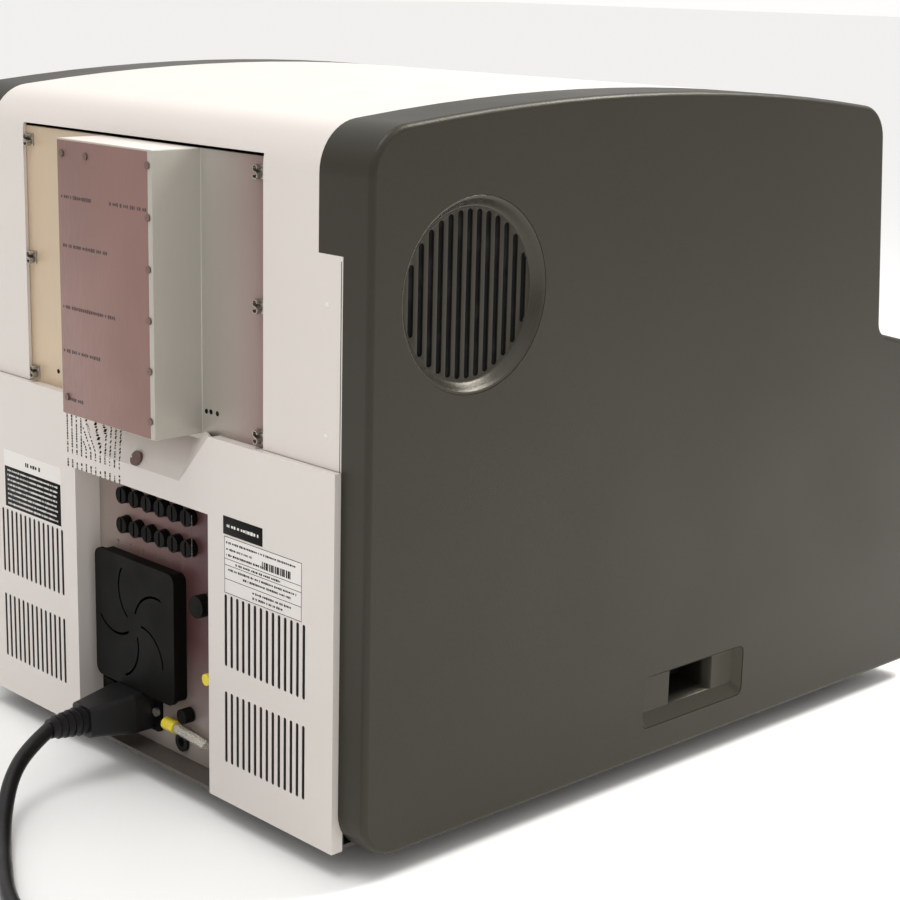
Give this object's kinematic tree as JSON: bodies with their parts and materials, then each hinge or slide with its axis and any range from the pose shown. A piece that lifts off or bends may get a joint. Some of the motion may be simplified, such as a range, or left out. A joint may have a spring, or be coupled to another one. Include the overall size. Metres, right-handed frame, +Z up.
{
  "type": "real-time pcr machine",
  "caption": "Bench-top real-time PCR cycler with domed cabinet, slotted rear covers, fan, fuse bay, mains lead, side plate loader, heated lid and filter-wheel optics",
  "frame": {"origin": "on the table under the middle of the machine's outline, without its lead", "axes": "+Z up; -Y is the front with nose and flap; +Y is the rear with covers and connector bay; +X is the loader's side"},
  "size_m": [0.5115, 0.9545, 0.497],
  "materials": {
    "white_paint": "satin powder coat",
    "white_plastic": "satin",
    "grey_plastic": "fine texture",
    "pocket_plastic": "fine texture",
    "zinc_steel": "zinc plated",
    "satin_aluminium": "satin",
    "bay_steel": "satin",
    "spring_steel": "bright",
    "screw_steel": "bright",
    "black_plastic": "satin",
    "rubber": "matte",
    "cord_jacket": "satin",
    "yellow_plastic": "satin",
    "clear_tube": "clear",
    "lens_light": "frosted",
    "circuit_board": "solder mask",
    "machined_aluminium": "machined",
    "ceramic": "matte",
    "black_metal": "anodised",
    "optical_glass": "polished",
    "mirror_glass": "polished"
  },
  "bodies": {
    "machine": {"side_panel_left": "grey_plastic", "side_panel_right": "grey_plastic", "side_grille": "grey_plastic", "lift_recesses": "pocket_plastic", "top_hood": "white_paint", "front_panel": "white_plastic", "status_lenses": "lens_light", "nose_cover": "white_plastic", "flap_pins": "screw_steel", "base_plate": "zinc_steel", "feet": "rubber", "chassis_wall_left": "zinc_steel", "chassis_wall_right": "zinc_steel", "rear_frame": "zinc_steel", "rear_lower_cover": "white_paint", "electronics_cover": "satin_aluminium", "cover_clips": "spring_steel", "machine_screws": "screw_steel", "connector_panel": "bay_steel", "fuse_holders": "black_plastic", "fuse_caps": "black_plastic", "rear_fan_frame": "black_plastic", "side_fan_frame": "black_plastic", "mains_inlet": "black_plastic", "drain_caps": "yellow_plastic", "drain_tube": "clear_tube", "cable_grommet": "rubber", "thumb_screws": "black_plastic", "power_plug": "cord_jacket", "strain_relief": "cord_jacket", "cord_tube": "cord_jacket", "cord_coil": "cord_jacket", "wall_plug": "cord_jacket", "power_supply": "zinc_steel", "main_board": "circuit_board", "block_tray": "zinc_steel", "heat_sink": "machined_aluminium", "peltier_modules": "ceramic", "thermal_block": "machined_aluminium", "loader_rails": "black_metal", "loader_motor": "black_metal", "lid_rods": "screw_steel", "lid_actuator": "black_metal", "optics_shelf": "zinc_steel", "field_lens": "optical_glass", "fold_mirror": "mirror_glass", "wheel_motors": "black_metal", "camera": "black_metal", "lamp_housing": "black_metal", "light_tunnel": "black_metal"},
    "flap": {"front_flap": "white_plastic"},
    "loader": {"plate_loader": "black_metal"},
    "roller": {"drive_roller": "rubber"},
    "lid": {"heated_lid": "machined_aluminium"},
    "emission_filters": {"emission_wheel": "black_metal"},
    "excitation_filters": {"excitation_wheel": "black_metal"},
    "rear_impeller": {"rear_fan_rotor": "black_plastic"},
    "side_impeller": {"side_fan_rotor": "black_plastic"},
    "rocker": {"mains_rocker": "black_plastic"},
    "button": {"load_button": "white_plastic"}
  },
  "joints": [
    {"name": "flap_hinge", "type": "hinge", "parent": "machine", "child": "flap", "pos_m": [0, -0.325, 0.056], "axis": [1, 0, 0], "range_deg": [0, 88]},
    {"name": "loader_slide", "type": "slide", "parent": "machine", "child": "loader", "axis": [1, 0, 0], "range_m": [0, 0.2285]},
    {"name": "roller_spin", "type": "hinge", "parent": "machine", "child": "roller", "pos_m": [0.104, -0.0877, 0.2], "axis": [0, 0, 1], "range_deg": [-10, 1650]},
    {"name": "lid_lift", "type": "slide", "parent": "machine", "child": "lid", "axis": [0, 0, 1], "range_m": [-0.009, 0]},
    {"name": "emission_spin", "type": "hinge", "parent": "machine", "child": "emission_filters", "pos_m": [0.1, -0.07, 0.375], "axis": [0, 1, 0], "continuous": true},
    {"name": "excitation_spin", "type": "hinge", "parent": "machine", "child": "excitation_filters", "pos_m": [-0.085, 0.03, 0.375], "axis": [0, 1, 0], "continuous": true},
    {"name": "rear_fan_spin", "type": "hinge", "parent": "machine", "child": "rear_impeller", "pos_m": [0.0215, 0.275, 0.11], "axis": [0, 1, 0], "continuous": true},
    {"name": "side_fan_spin", "type": "hinge", "parent": "machine", "child": "side_impeller", "pos_m": [-0.2, 0.2065, 0.3756], "axis": [1, 0, 0], "continuous": true},
    {"name": "rocker_tip", "type": "hinge", "parent": "machine", "child": "rocker", "pos_m": [0.066, 0.276, 0.046], "axis": [1, 0, 0], "range_deg": [0, 16]},
    {"name": "button_press", "type": "slide", "parent": "machine", "child": "button", "axis": [0, 0.9959, -0.0906], "range_m": [0, 0.003], "stiffness_N_per_m": 300}
  ],
  "couplings": [
    {"joint": "roller_spin", "follows": "loader_slide", "rad_per_m": 125}
  ]
}
